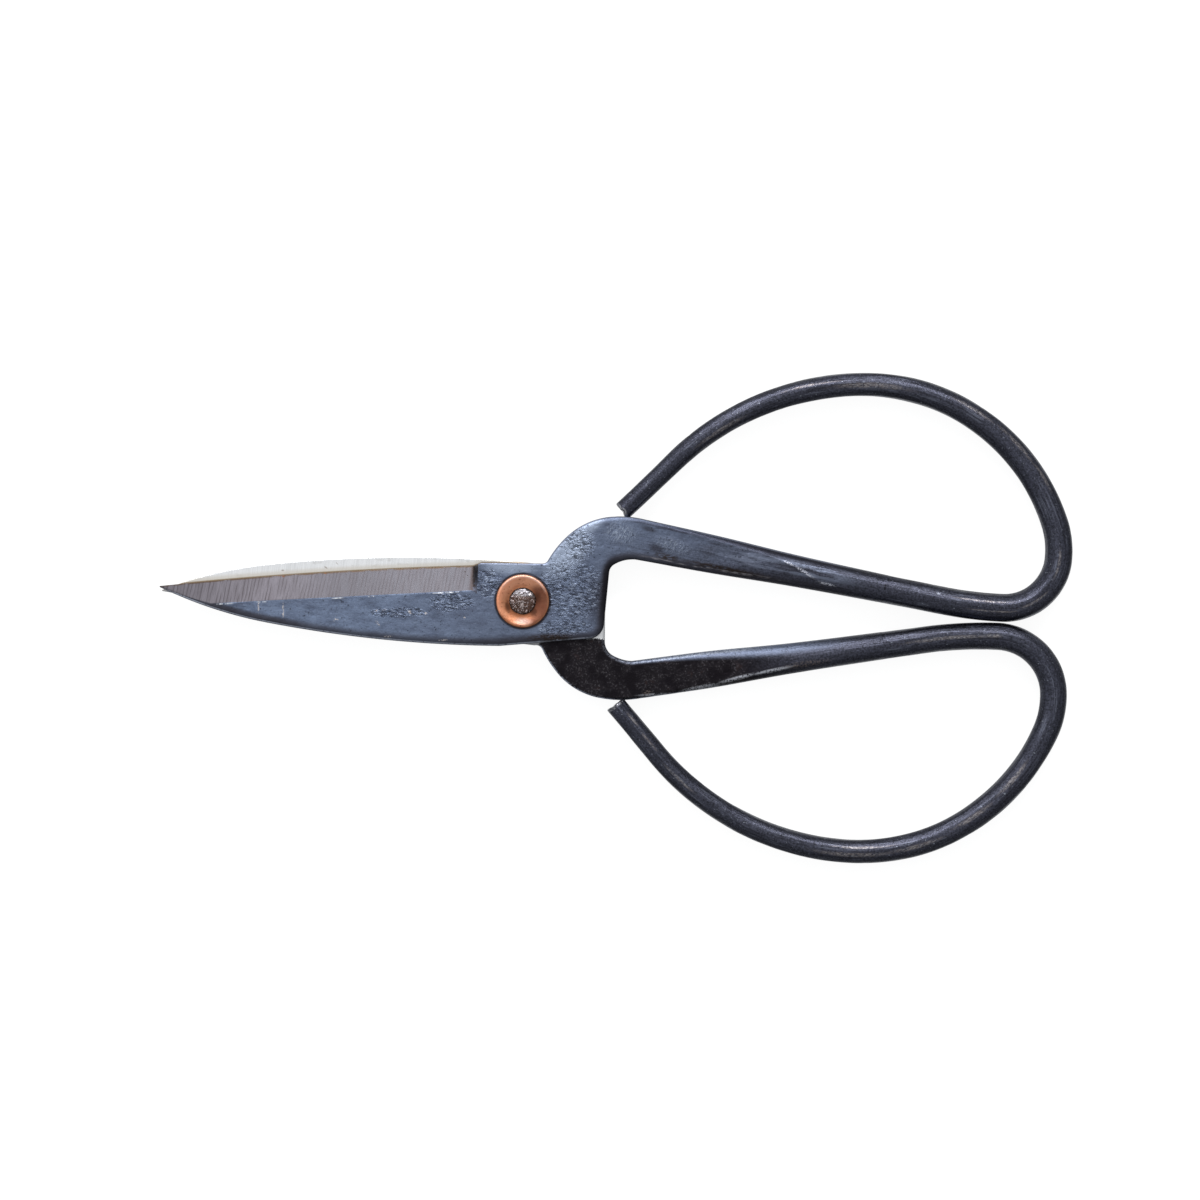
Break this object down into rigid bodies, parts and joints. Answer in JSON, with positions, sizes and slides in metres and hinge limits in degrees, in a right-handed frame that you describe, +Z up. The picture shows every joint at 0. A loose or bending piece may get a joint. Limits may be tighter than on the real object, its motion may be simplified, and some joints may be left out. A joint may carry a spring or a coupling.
{
  "type": "floral snips",
  "caption": "Hand-forged floral snips with pointed ground blades, a rivet through dished copper washers, and open butterfly handles bent from tapered round rod.",
  "frame": {"origin": "on the rivet's axis, at the flat of the rivet's tail, on which the snips lie", "axes": "+X from the pivot towards the handle bows, -X along the closed blades, +Z up along the rivet's axis towards the front face"},
  "size_m": [0.1993, 0.1077, 0.0091],
  "materials": {
    "forged_steel": "blue-grey forge scale with a ground bevel and ground inner faces",
    "black_rod": "black oxide, worn to a dull shine on the crests",
    "copper": "burnished copper",
    "rivet_steel": "hammered, with tarnish in the hollows"
  },
  "bodies": {
    "front_half": {"front_blade": "forged_steel", "front_bow": "black_rod", "pivot_rivet": "rivet_steel", "front_washer": "copper", "back_washer": "copper"},
    "back_half": {"back_blade": "forged_steel", "back_bow": "black_rod"}
  },
  "joints": [
    {"name": "pivot", "type": "hinge", "parent": "front_half", "child": "back_half", "pos_m": [0, 0, 0.00457], "axis": [0, 0, -1], "range_deg": [0, 60]}
  ]
}
